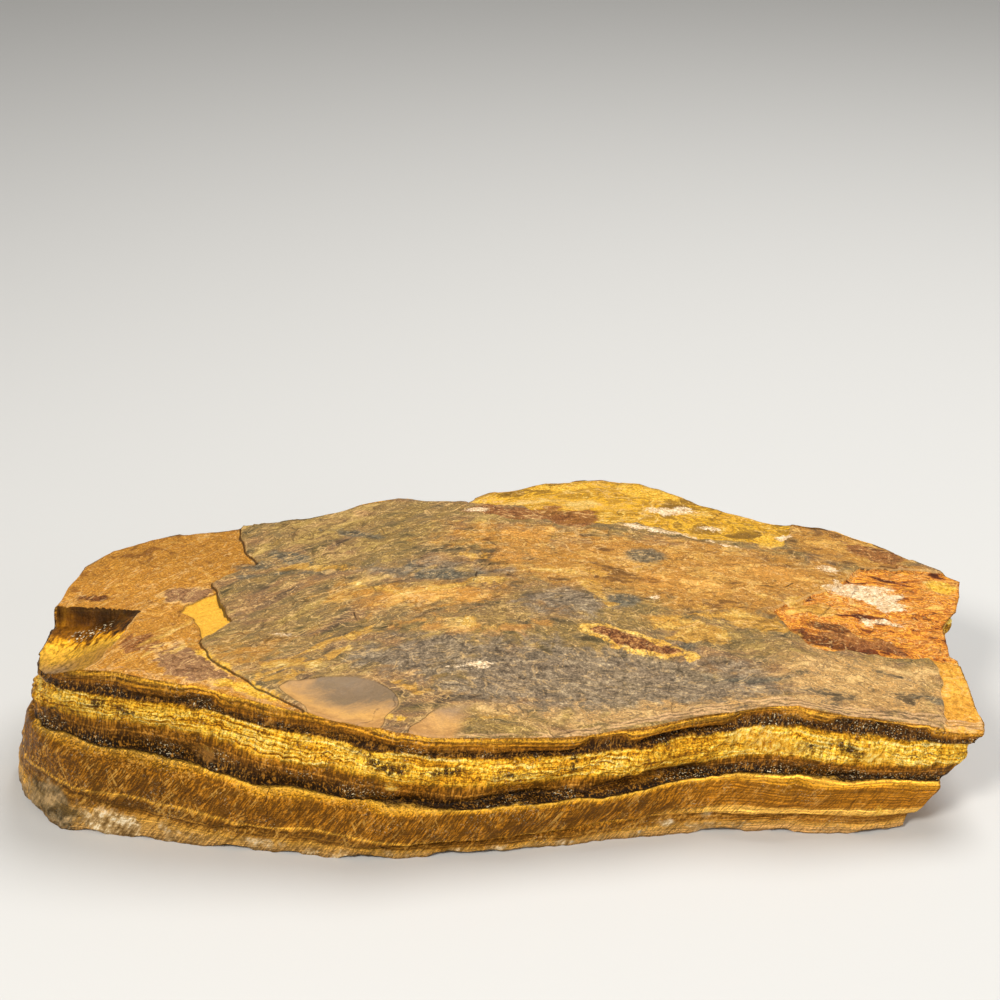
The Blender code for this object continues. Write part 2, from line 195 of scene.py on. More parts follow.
# Stains and crusts on the roof: middle x and y, half length, half width, turn in degrees.
PATCHES = {
    "soft_warm": ((55, 12, 58, 22, -6), (-22, -4, 22, 8, 6), (6, 34, 22, 10, 0), (100, 8, 22, 14, -10),
        (112, -50, 9, 4, 0), (72, -6, 30, 9, -8), (-72, -48, 14, 5, 40), (114, 34, 24, 15, -35)),
    "soft_dark": ((26, -46, 62, 15, -6), (-20, -38, 22, 9, 12), (22, -10, 15, 8, -8), (-20, 12, 16, 5, -6)),
    "soft_tan": ((107, -44, 26, 13, 0), (60, -59, 60, 3.5, 2)),
    "smoke": ((-66, 17, 8, 3.6, -20), (-46, 36.5, 9, 1.8, -14), (-76, 10, 6, 2.6, 20), (-17, 9, 11, 3.0, 0),
        (46, 21.5, 6.8, 4.6, 0), (38, -8.6, 5.4, 4.0, 0), (55, -29.8, 4.5, 1.8, 0),
        (126, -48, 4.5, 1.8, -10)),
    "umber": ((98.5, -15.8, 6.2, 2.5, -4), (97, -24, 9.0, 2.6, -16), (-122, -14.5, 5, 1.6, -10)),
    "gold": ((-61, -50, 7, 3.2, 52), (55, -21, 9, 4.0, -8), (74, -17, 12, 4.2, -14), (-7, 22, 4.5, 2.6, 0),
        (29, -4, 2.2, 9, 22), (92, -6, 9, 2.6, -12), (-11.5, -21.3, 3.4, 1.8, 0), (58.5, -24.5, 8, 5.5, 0),
        (138, 12, 5, 3.2, 0), (-56, 12, 8, 2.0, 14), (-5, 5.6, 5, 2.4, 0), (-26, -54.3, 4.2, 2.0, -14),
        (-2.5, -64.8, 4.0, 1.4, 4)),
    "orange": ((5, 21.8, 9, 4.4, 0), (8, 38, 9, 2.6, 0), (-16, -24, 12, 2.0, -8),
        (48.4, -18.7, 4.5, 1.8, 0), (84, 12, 12, 4.0, -8), (64, 2, 10, 3.0, 0), (-20, -4.2, 15, 4.4, 4),
        (52, 6, 8, 2.6, -14)),
    "yellow": ((87.4, 37, 5.0, 6.0, 0), (139, 12.5, 4.2, 3.6, 0), (49, 68, 11, 4.5, -30),
        (20, 74, 10, 2.4, 0), (-4, 64, 5, 2.2, 30), (-36, -70, 8, 1.4, 8), (-84.4, -50.2, 4.8, 1.5, -48),
        (-77.8, -56.8, 5.0, 1.2, -42), (-70.5, -66.5, 9.0, 2.8, -12)),
    "rust": ((12, 53, 19, 5.2, -6), (25, 49, 8, 7, 0), (120.5, 32, 11, 5.6, -38),
        (-102.5, -46.5, 6.5, 6, -30), (108, -22, 16, 3.2, -6), (-5, 56, 6, 2.4, 0)),
    "mauve": ((-88.5, -56, 12.5, 7.5, -55), (-78.5, -62, 8, 3.0, -34), (-95, -11.5, 7, 5, 20)),
    "white": ((112.5, 6.5, 11, 4.2, 0), (119, 0, 6.5, 4.6, -24), (117.5, -10.5, 3.0, 1.1, 0),
        (112, -11, 1.4, 0.8, 0), (-7.2, -41.4, 3.4, 1.6, 12), (-13.0, -43.0, 2.0, 0.8, 12),
        (57, 54.8, 7.5, 2.4, 6), (70, 43.5, 4.2, 1.4, 0), (-62, -32.7, 1.4, 0.4, 0), (47, -7, 1.6, 2.0, 0),
        (106, 17, 4.5, 0.9, -6), (-7, 55.5, 2.6, 1.0, 0), (92, 41, 2.0, 2.0, 0)),
}
# Streaks on the roof: half width and the line followed.
STREAKS = {
    "gold": ((1.5, ((-66, -60), (-58, -45), (-49, -34), (-41, -29), (-38, -26.5))), (0.9, ((-62, -62),
        (-52, -46), (-44, -38))), (0.8, ((-44, 2), (-30, -4), (-16, 1), (-6, 4))), (0.8, ((8, 12), (30, 8),
        (44, 12))), (0.9, ((24, 7), (28, -3), (33, -12))), (0.7, ((-100.2, -53), (-98.8, -43.9),
        (-95.3, -36.2), (-91.8, -28.4))), (0.5, ((-96, -52), (-89, -44), (-86.5, -45)))),
    "orange": ((0.8, ((-36, -2), (-20, -7), (-8, -5))), (0.7, ((-18, -20), (0, -25), (14, -23)))),
    "white": ((1.0, ((42.5, 42.9), (52, 38.7), (61.6, 36.1))), (0.5, ((61.6, 36.1), (71.5, 31),
        (79, 30.1)))),
    "smoke": ((0.9, ((-80, 1.5), (-68, 6.1), (-54, 9.6))), (0.7, ((-30, 16), (-18, 9), (-6, 10))), (0.6,
        ((60, -44), (74, -47), (86, -46)))),
}
# Marks on the front face: middle x, middle height in scaled bed numbers, half length and height, turn.
BED_REACH = 14.0
FRONT_MARKS = {
    "quartz": ((-110.5, 38.0, 7.4, 4.4, 0), (-130, 36.0, 8.0, 5.4, 0), (48, 33.0, 2.4, 1.8, 0),
        (59, 29, 1.2, 1.6, 10), (125.5, 38.5, 4.0, 2.6, 0)),
    "shadow": ((-127.5, 39.6, 4.6, 2.4, 0), (-84, 3.2, 8, 1.3, 0), (-127.5, 11.4, 3.6, 2.6, 0),
        (-33, 6.4, 6, 0.8, 8), (-26.5, 6.5, 2.4, 1.0, 0), (-113.5, 6.0, 2.6, 0.9, 0),
        (-104, 7.0, 3.4, 0.6, 10), (2, 6.9, 4, 0.7, 0), (-14, 6.6, 3, 0.5, 0), (21, 6.4, 1.0, 1.8, 0),
        (88, 6.8, 6, 0.6, -8), (99, 6.3, 5, 0.7, 10), (-61, 2.8, 3, 1.2, 0), (45, 3.6, 3.4, 0.6, 20),
        (90, 2.0, 3, 0.8, 0), (103.5, 2.8, 12, 1.0, 0)),
    "pale": ((78, 7.0, 7, 1.2, 0), (68, 5.8, 3, 0.9, 0), (-82, 12.4, 3.4, 0.7, 0), (107, 7.4, 3, 1.2, 0),
        (-14.4, 2.9, 1.4, 0.9, 0), (-31, 10.6, 2.0, 1.2, 0), (59, 27.4, 1.0, 1.8, 8),
        (109, 25.5, 0.9, 2.0, -14)),
    "block": ((43, 10.6, 6.6, 2.0, 0), (84, 1.6, 4, 1.0, 0), (30, 1.2, 5.6, 0.8, 0),
        (100, 0.9, 10, 1.0, 0)),
}
CRACKS = (((-8.5, 4.5), (-6, 12), (-2.5, 17.3)), ((-44.2, -15.7), (-41.5, -22), (-38, -25.5)),
          ((51.7, -17.5), (49.4, -20.1)), ((-12, 17), (-4, 15), (4, 16)),
          ((113.6, 20.4), (126, 21), (136, 19)),
          ((95, 8), (86, 2), (78, 6)))


# ---------------------------------------------------------------- shape
def smooth(share):
    share = np.clip(share, 0.0, 1.0)
    return share * share * (3.0 - 2.0 * share)


def places(plan, level, span, seed):
    stacked = np.column_stack([plan / span, np.broadcast_to(level, len(plan)) / span])
    return [Vector(place) + Vector((seed, 0.0, 0.0)) for place in stacked]


def ripple(plan, level, span, seed):
    """Smooth unevenness between -1 and 1."""
    return np.array([noise.noise(place) for place in places(plan, level, span, seed)]) * 1.6


def scallop(plan, level, span, seed):
    """Hollows with sharp ridges between them: 0 deep inside a hollow, up to about 1 on a ridge."""
    return np.array([noise.voronoi(place)[0][0] for place in places(plan, level, span, seed)]) ** 2


def crest(plan, level, span, seed):
    """Unevenness with sharp crests: 1 on a crest, falling towards -1."""
    return 1.0 - 2.0 * np.abs(ripple(plan, level, span, seed))


def along(line, share):
    corners = np.array(line, float)
    run = np.concatenate(([0.0], np.cumsum(np.hypot(*np.diff(corners, axis=0).T))))
    return np.column_stack([np.interp(share * run[-1], run, corners[:, axis]) for axis in (0, 1)])


def rounded(outline, passes=2):
    """A closed outline with its corners cut off, more finely each time."""
    corners = np.array(outline, float)
    for _ in range(passes):
        onward = np.roll(corners, -1, axis=0)
        corners = np.stack([0.75 * corners + 0.25 * onward, 0.25 * corners + 0.75 * onward], 1)
        corners = corners.reshape(-1, 2)
    return corners


def sheet(edges, across, inward):
    """The plan place of a point inside four edges."""
    front, back = along(edges["front"], across), along(edges["back"], across)
    left, right = along(edges["left"], inward), along(edges["right"], inward)
    u, v = across[:, None], inward[:, None]
    near = (1 - u) * np.array(edges["front"][0]) + u * np.array(edges["front"][-1])
    far = (1 - u) * np.array(edges["back"][0]) + u * np.array(edges["back"][-1])
    return (1 - v) * front + v * back + (1 - u) * left + u * right - (1 - v) * near - v * far


def distance_to(plan, line):
    corners = np.array(line, float)
    nearest = np.full(len(plan), np.inf)
    for start, end in zip(corners[:-1], corners[1:]):
        run = end - start
        share = np.clip((plan - start) @ run / (run @ run), 0.0, 1.0)
        nearest = np.minimum(nearest, np.hypot(*(plan - start - share[:, None] * run).T))
    return nearest


def depth_inside(plan, outline):
    """Distance in from a closed outline, negative outside it."""
    corners = np.array(outline, float)
    inside = np.zeros(len(plan), bool)
    x, y = plan.T
    for (ax, ay), (bx, by) in zip(corners, np.roll(corners, -1, axis=0)):
        if ay != by:
            inside ^= ((ay > y) != (by > y)) & (x < ax + (bx - ax) * (y - ay) / (by - ay))
    reach = distance_to(plan, np.vstack([corners, corners[:1]]))
    return np.where(inside, reach, -reach)


def depth_in_marks(plan, patches, streaks=()):
    """Distance in from the edges of some round patches and drawn-out streaks."""
    depth = np.full(len(plan), -20.0)
    for x, y, across, deep, turn in patches:
        angle = math.radians(turn)
        off = plan - np.array((x, y), float)
        run = off @ np.array((math.cos(angle), math.sin(angle)))
        rise = off @ np.array((-math.sin(angle), math.cos(angle)))
        depth = np.maximum(depth, (1.0 - np.hypot(run / across, rise / deep)) * min(across, deep))
    for half_width, line in streaks:
        depth = np.maximum(depth, half_width - distance_to(plan, line))
    return depth


def whole_roof(plan):
    x, y = plan.T
    front_line = np.interp(x, *np.array(ROOF_EDGES["front"]).T)
    share = smooth((y - front_line) / FRONT_ROLL)
    front, back = np.interp(x, STATIONS, ROOF_FRONT), np.interp(x, STATIONS, ROOF_BACK)
    return front + (back - front) * share


def frayed(plan, reach, seed):
    """Plan places shifted a little to and fro, so that a straight outline breaks up."""
    return plan + reach * np.column_stack([ripple(plan, 0.0, 5.0, seed), ripple(plan, 9.0, 5.0, seed)])


def terrace_line(plan):
    """About how far a place is past the nearest low step of the parting face."""
    return (ripple(plan, 0.0, TERRACE_SPAN, 87.0) + 0.25 * ripple(plan, 0.0, 6.0, 89.0)) / TERRACE_SLOPE


def roof_loss(plan):
    """How far flaked sheets, chips and the broken corner lower the roof."""
    loss = -SWELL * ripple(plan, 0.0, SWELL_SPAN, 3.0)
    broken = frayed(plan, BED_FRAY, FRAY_SEED)
    for name, drop, lost_over in FLAKES:
        inside = depth_inside(broken, OUTLINES[name])
        loss += drop * smooth(0.5 + inside / FLAKE_RIM) * smooth(1.0 - inside / lost_over)
    for outline, depth in CHIPS:
        bowl = np.clip(depth_inside(plan, rounded(outline)) / CHIP_BOWL, 0.0, 1.0)
        loss += depth * (1.0 - (1.0 - bowl) ** 2)
    fall = np.minimum(CORNER_FALL * distance_to(plan, CORNER_HINGE), CORNER_DEEPEST)
    loss += fall * smooth(0.5 + depth_inside(broken, OUTLINES["corner"]) / FLAKE_RIM)
    return loss


def bed_levels(plan):
    """Heights of the roof, the bed lines and the foot, one column each."""
    roof = whole_roof(plan)
    lines = [roof - np.interp(plan[:, 0], *np.array(line).T) for line in BED_LINES]
    return np.column_stack([roof, *lines, np.zeros(len(roof))])


def bed_height(plan, bed):
    levels = bed_levels(plan)
    upper = min(int(np.searchsorted(BED_NUMBERS, bed, side="right")) - 1, len(BED_NUMBERS) - 2)
    share = (bed - BED_NUMBERS[upper]) / (BED_NUMBERS[upper + 1] - BED_NUMBERS[upper])
    return levels[:, upper] + (levels[:, upper + 1] - levels[:, upper]) * share


def bed_number(points):
    """Which bed a place in the stone belongs to."""
    levels = bed_levels(points[:, :2])
    bed = np.zeros(len(points))
    for upper, thickness in enumerate(np.diff(BED_NUMBERS)):
        top, foot = levels[:, upper], levels[:, upper + 1]
        bed += thickness * np.clip((top - points[:, 2]) / (top - foot), 0.0, 1.0)
    return bed


def fine_beds():
    """Bed numbers of the fine courses."""
    return np.concatenate([top + (foot - top) * np.arange(1, count + 1) / count
                           for top, foot, count in zip(BED_NUMBERS, BED_NUMBERS[1:], BED_COURSES)])


def outward(plan_ring, reach=6):
    run = np.roll(plan_ring, -reach, axis=0) - np.roll(plan_ring, reach, axis=0)
    run /= np.maximum(np.hypot(*run.T), 1e-9)[:, None]
    return np.column_stack([run[:, 1], -run[:, 0]])


def eased(ring, passes):
    for _ in range(passes):
        ring = 0.5 * ring + 0.25 * (np.roll(ring, 1, axis=0) + np.roll(ring, -1, axis=0))
    return ring


def broad_relief(plan, bed):
    """How far whole courses and broken blocks stand out of the plain side."""
    pack = min(int(bed), 2)
    calm = np.where((plan[:, 1] < CALM_FRONT) | (plan[:, 0] < CALM_LEFT), CALM, 1.0)
    course_out = np.interp(bed, *np.array(COURSES).T)
    course = course_out * (1.0 - WANE + 2.0 * WANE * smooth(0.5 + ripple(plan, 9.0 * pack, WANE_SPAN, 5.0)))
    course *= 1.0 - END_CALM * smooth((plan[:, 0] - END_CALM_FROM) / 20.0)
    blocks = BREAK * ripple(plan, 37.0 * pack, BREAK_SPAN, 11.0)
    hollows = SCALLOP * (scallop(plan, 25.0 * bed, SCALLOP_SPAN, 17.0) - 0.25)
    return course + calm * (blocks + hollows)


def fine_relief(plan, height, bed):
    """Hackles of the gold bed, grains of the dark beds, splinters of the brown ones, laminae of the cap."""
    gold = float(smooth((bed - 0.31) / 0.04) * smooth((0.66 - bed) / 0.06))
    dark = float(smooth((bed - 0.12) / 0.03) * smooth((0.33 - bed) / 0.03)
                 + smooth((bed - 0.82) / 0.04) * smooth((1.0 - bed) / 0.02))
    brown = float(smooth((bed - 0.6) / 0.1)) * (1.0 - dark)
    leaning = plan + np.column_stack([0.4 * height, np.zeros(len(plan))])
    hackles = crest(plan, height * 0.45, 3.4, 23.0) + 0.5 * ripple(plan, height * 0.5, 1.6, 29.0)
    splinters = ripple(leaning, height * 0.2, 2.2, 31.0) + 0.6 * crest(leaning, height * 0.15, 5.5, 33.0)
    grains = ripple(plan, height, 1.3, 35.0)
    laminae = float(bed < 0.14) * np.sign(ripple(plan, 220.0 * bed, 14.0, 71.0))
    return (GOLD_HACKLE * gold * hackles + SPLINTER_RELIEF * brown * splinters
            + GRAIN_RELIEF * (dark + 0.3) * grains + LAMINA_STEP * laminae)


def border_steps():
    across, inward = np.arange(COLUMNS), np.arange(ROWS)
    return np.column_stack([
        np.concatenate([across, np.full(ROWS, COLUMNS), COLUMNS - across, np.zeros(ROWS, int)]),
        np.concatenate([np.zeros(COLUMNS, int), inward, np.full(COLUMNS, ROWS), ROWS - inward])])


def shares(steps):
    return steps[:, 0] / COLUMNS, (steps[:, 1] / ROWS) ** ROW_GATHER


class Sides:
    """What all the courses share: the roof's border, the foot's, and the way out."""

    def __init__(self):
        across, inward = shares(border_steps())
        self.top = sheet(ROOF_EDGES, across, inward)
        self.foot = sheet(FOOT_EDGES, across, inward)
        self.whole = whole_roof(self.top)
        self.left = (self.whole - roof_loss(self.top)) / self.whole
        self.spread = smooth((SPREAD_FROM - self.top[:, 0]) / (SPREAD_FROM - SPREAD_FULL))
        self.end = smooth((self.top[:, 1] - END_FROM) / (END_FULL - END_FROM))
        self.rag = FOOT_RAG * np.clip(ripple(self.top, 0.0, 11.0, 41.0), 0.0, 1.0)

    def ring(self, bed):
        height = bed_height(self.top, bed) * self.left
        share = 1.0 - height / (self.whole * self.left)
        bellied = share * (2.0 - share) * (1.0 - self.end) + smooth(share) * self.end
        share = share + (bellied - share) * self.spread
        plan = self.top + (self.foot - self.top) * share[:, None]
        relief = broad_relief(self.top, bed) + fine_relief(self.top, height, bed)
        plan = plan + outward(plan) * relief[:, None]
        rag = self.rag * smooth((bed - 2.5) * 2.0)
        return np.column_stack([plan, np.maximum(height, rag)])


def draw_down(stone, border):
    grown = bmesh.ops.extrude_edge_only(stone, edges=border)["geom"]
    points = [item for item in grown if isinstance(item, bmesh.types.BMVert)]
    bmesh.ops.translate(stone, verts=points, vec=(0.0, 0.0, -1.0))
    return [item for item in grown if isinstance(item, bmesh.types.BMEdge)]


def grid_block(courses):
    stone = bmesh.new()
    bmesh.ops.create_grid(stone, x_segments=COLUMNS, y_segments=ROWS, size=0.5)
    bmesh.ops.translate(stone, verts=stone.verts, vec=(0.5, 0.5, 0.0))
    border = [edge for edge in stone.edges if edge.is_boundary]
    for _ in range(courses + 1):
        border = draw_down(stone, border)
    bmesh.ops.edgeloop_fill(stone, edges=border)
    return stone


def grid_steps(points):
    return np.array([(round(point.co.x * COLUMNS), round(point.co.y * ROWS)) for point in points])


def shape_roof(points):
    plan = sheet(ROOF_EDGES, *shares(grid_steps(points)))
    height = whole_roof(plan) - roof_loss(plan)
    beyond = depth_inside(plan, OUTLINES["left_bed"]) < -1.0
    height -= TERRACE_FALL * smooth(0.5 + terrace_line(plan) / FLAKE_RIM) * beyond
    height += 0.20 * ripple(plan, 0.0, 7.0, 81.0) + 0.12 * ripple(plan, 0.0, 2.4, 83.0)
    for point, (x, y), z in zip(points, plan, height):
        point.co = (x, y, z)


def shape_sides(points, beds):
    sides = Sides()
    order = {tuple(step): place for place, step in enumerate(border_steps())}
    rings = [sides.ring(bed) for bed in beds]
    foot = rings[-1][:, :2]
    sole = eased(foot - SOLE_INSET * outward(foot), SOLE_EASING)
    rings.append(np.column_stack([sole, np.zeros(len(sole))]))
    for point, step in zip(points, grid_steps(points)):
        point.co = rings[round(-point.co.z) - 1][order[tuple(step)]]


def build_stone():
    beds = fine_beds()
    stone = grid_block(len(beds))
    weathered = stone.verts.layers.float.new("weathered")
    roof = [point for point in stone.verts if point.co.z > -0.5]
    side = [point for point in stone.verts if point.co.z < -0.5]
    for point in stone.verts:
        point[weathered] = float(point.co.z > -0.5) + 2.0 * float(point.co.z < -len(beds) - 0.5)
    shape_sides(side, beds)
    shape_roof(roof)
    bmesh.ops.recalc_face_normals(stone, faces=stone.faces)
    mesh = bpy.data.meshes.new("tigers_eye_stone")
    stone.to_mesh(mesh)
    stone.free()
    mark_places(mesh)
    fit_to_frame(mesh)
    mesh.shade_smooth()
    return mesh


def places_of(mesh):
    flat = np.empty(len(mesh.vertices) * 3, np.float32)
    mesh.vertices.foreach_get("co", flat)
    return flat.reshape(-1, 3)


def mark_places(mesh):
    """Writes, at every point, the bed it lies in and how far it is inside each patch of the roof."""
    points = places_of(mesh).astype(float)
    plan = points[:, :2]
    broken = frayed(plan, BED_FRAY, FRAY_SEED)
    chips = [depth_inside(frayed(plan, CHIP_FRAY, FRAY_SEED), rounded(outline)) for outline, _ in CHIPS]
    fields = {name: depth_inside(broken, outline) for name, outline in OUTLINES.items()} | {
        "red_lens": depth_inside(broken, rounded(OUTLINES["red_lens"])),
        "bed": bed_number(points),
        "chips": np.maximum(*chips),
        "terrace": terrace_line(plan),
        "front_rim": distance_to(plan, ROOF_EDGES["front"]),
        "crack": depth_in_marks(broken, (), [(0.0, line) for line in CRACKS]),
    }
    for name, patches in PATCHES.items():
        fields[name] = depth_in_marks(plan, patches, STREAKS.get(name, ()))
    face = np.column_stack([plan[:, 0], fields["bed"] * BED_REACH])
    for name, patches in FRONT_MARKS.items():
        fields[name] = np.where(plan[:, 1] < -20.0, depth_in_marks(face, patches), -20.0)
    for name, values in fields.items():
        field = mesh.attributes.new(name, "FLOAT", "POINT")
        field.data.foreach_set("value", values.astype(np.float32))


def fit_to_frame(mesh):
    """Brings the stone to metres and sets it inside the frame's box."""
    points = places_of(mesh) * MM
    low, high = np.array(CAD_BOX[0]), np.array(CAD_BOX[1])
    middle = (points[:, :2].min(axis=0) + points[:, :2].max(axis=0)) / 2.0
    points[:, :2] -= middle
    points = np.clip(points, low, high)
    mesh.vertices.foreach_set("co", points.astype(np.float32).ravel())


# ---------------------------------------------------------------- finish
def shade(screen):
    """A colour given as a screen value, such as 0xC8C7C4, as the light it stands for."""
    def light(value):
        value /= 255.0
        return value / 12.92 if value <= 0.04045 else ((value + 0.055) / 1.055) ** 2.4
    return light(screen >> 16), light(screen >> 8 & 255), light(screen & 255), 1.0


class Value:
    """A shader socket that takes part in sums."""

    def __init__(self, finish, socket):
        self.finish = finish
        self.socket = socket

    def maths(self, operation, *values):
        made = self.finish.node("Math", {"operation": operation}, dict(enumerate(values)))
        return self.finish.output(made)

    def __add__(self, other):
        return self.maths("ADD", self, other)

    def __sub__(self, other):
        return self.maths("SUBTRACT", self, other)

    def __rsub__(self, other):
        return self.maths("SUBTRACT", other, self)

    def __mul__(self, other):
        return self.maths("MULTIPLY", self, other)

    def __truediv__(self, other):
        return self.maths("DIVIDE", self, other)

    __radd__ = __add__
    __rmul__ = __mul__

    def least(self, other):
        return self.maths("MINIMUM", self, other)

    def most(self, other):
        return self.maths("MAXIMUM", self, other)

    def size(self):
        return self.maths("ABSOLUTE", self)

    def between(self, low, high, start=0.0, end=1.0):
        """Goes smoothly from start at low to end at high."""
        made = self.finish.node("MapRange", {"interpolation_type": "SMOOTHSTEP"},
                                {0: self, 1: low, 2: high, 3: start, 4: end})
        return self.finish.output(made)

    def within(self, low, high, end, last):
        """1 from high to end, fading to 0 at low and at last."""
        return self.between(low, high) * self.between(last, end)

    def line(self, centre, half):
        """1 on the line where the value is centre, fading to 0 half away on both sides."""
        return (self - centre).size().between(half, half * 0.3)


class Finish:
    """One material's nodes."""

    def __init__(self, name):
        self.material = bpy.data.materials.new(name)
        self.material.use_nodes = True
        self.tree = self.material.node_tree
        self.tree.nodes.clear()
        self.colour = None      # what paint has laid so far

    def node(self, kind, settings=None, values=None):
        made = self.tree.nodes.new("ShaderNode" + kind)
        for name, setting in (settings or {}).items():
            if name == "stops":
                self.set_stops(made.color_ramp, setting)
            else:
                setattr(made, name, setting)
        for socket, value in (values or {}).items():
            if isinstance(value, Value):
                self.tree.links.new(value.socket, made.inputs[socket])
            else:
                made.inputs[socket].default_value = value
        return made

    @staticmethod
    def set_stops(ramp, stops):
        while len(ramp.elements) < len(stops):
            ramp.elements.new(0.5)
        for element, (position, colour) in zip(ramp.elements, stops):
            element.position = position
            element.color = colour

    def output(self, made, socket=0):
        return Value(self, made.outputs[socket])

    def field(self, name):
        return self.output(self.node("Attribute", {"attribute_name": name}), "Fac")

    def ramp(self, name, value, span=1.0):
        """One of the named colour scales, with its positions divided by span."""
        stops = [(place / span, shade(tint)) for place, tint in COLOURS[name]]
        return self.output(self.node("ValToRGB", {"stops": stops}, {0: value}))

    def mix(self, factor, first, second, blend="MIX"):
        made = self.node("Mix", {"data_type": "RGBA", "blend_type": blend},
                         {0: factor, 6: first, 7: second})
        return self.output(made, 2)

    def paint(self, share, tint, blend="MIX"):
        """Lays a colour over what is there already."""
        self.colour = self.mix(share, self.colour, tint, blend)

    def lit(self, light):
        self.paint(1.0, self.vector(light, light, light), "MULTIPLY")

    def vector(self, x, y, z):
        return self.output(self.node("CombineXYZ", None, {0: x, 1: y, 2: z}))

    def clouds(self, vector, size, octaves, roughness=0.55, distortion=0.0):
        """Cloudy noise, stretched so that it runs from about 0 to 1."""
        made = self.node("TexNoise", None, {"Vector": vector, "Scale": 1.0 / size, "Detail": octaves,
                                            "Roughness": roughness, "Distortion": distortion})
        wide = self.node("MapRange", None, {0: self.output(made, "Fac"), 1: 0.28, 2: 0.72})
        return self.output(wide)

    def bump(self, height):
        """Relief whose height is given in millimetres."""
        return self.output(self.node("Bump", None, {"Strength": 1.0, "Distance": MM, "Height": height}))


